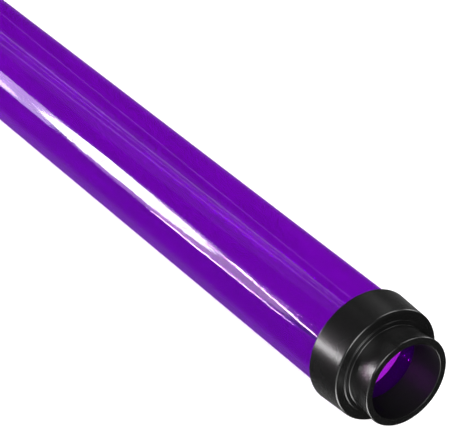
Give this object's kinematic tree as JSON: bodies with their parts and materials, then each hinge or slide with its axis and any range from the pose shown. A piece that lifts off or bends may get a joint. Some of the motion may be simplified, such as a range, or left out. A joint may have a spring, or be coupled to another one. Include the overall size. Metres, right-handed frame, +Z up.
{
  "type": "light tube sleeve",
  "caption": "Translucent violet sleeve for a fluorescent or LED light tube: a clear tube with a rolled colour film inside, and a stepped black cap with an open bore on each end.",
  "frame": {"origin": "bottom centre of the whole sleeve: midway along it, under the widest edges of the caps", "axes": "+X along the sleeve's axis towards the near cap, +Z up, +Y completes a right-handed frame"},
  "size_m": [0.5844, 0.0412, 0.0412],
  "materials": {
    "clear_plastic": "clear, glossy, extruded polycarbonate",
    "violet_film": "translucent violet filter film, smooth",
    "black_plastic": "black, satin, injection moulded"
  },
  "bodies": {
    "tube": {"clear_tube": "clear_plastic", "colour_film": "violet_film"},
    "near_cap": {"near_end_cap": "black_plastic"},
    "far_cap": {"far_end_cap": "black_plastic"}
  },
  "joints": [
    {"name": "near_cap_pull", "type": "slide", "parent": "tube", "child": "near_cap", "axis": [1, 0, 0], "range_m": [0, 0.04]},
    {"name": "far_cap_pull", "type": "slide", "parent": "tube", "child": "far_cap", "axis": [-1, 0, 0], "range_m": [0, 0.04]}
  ]
}
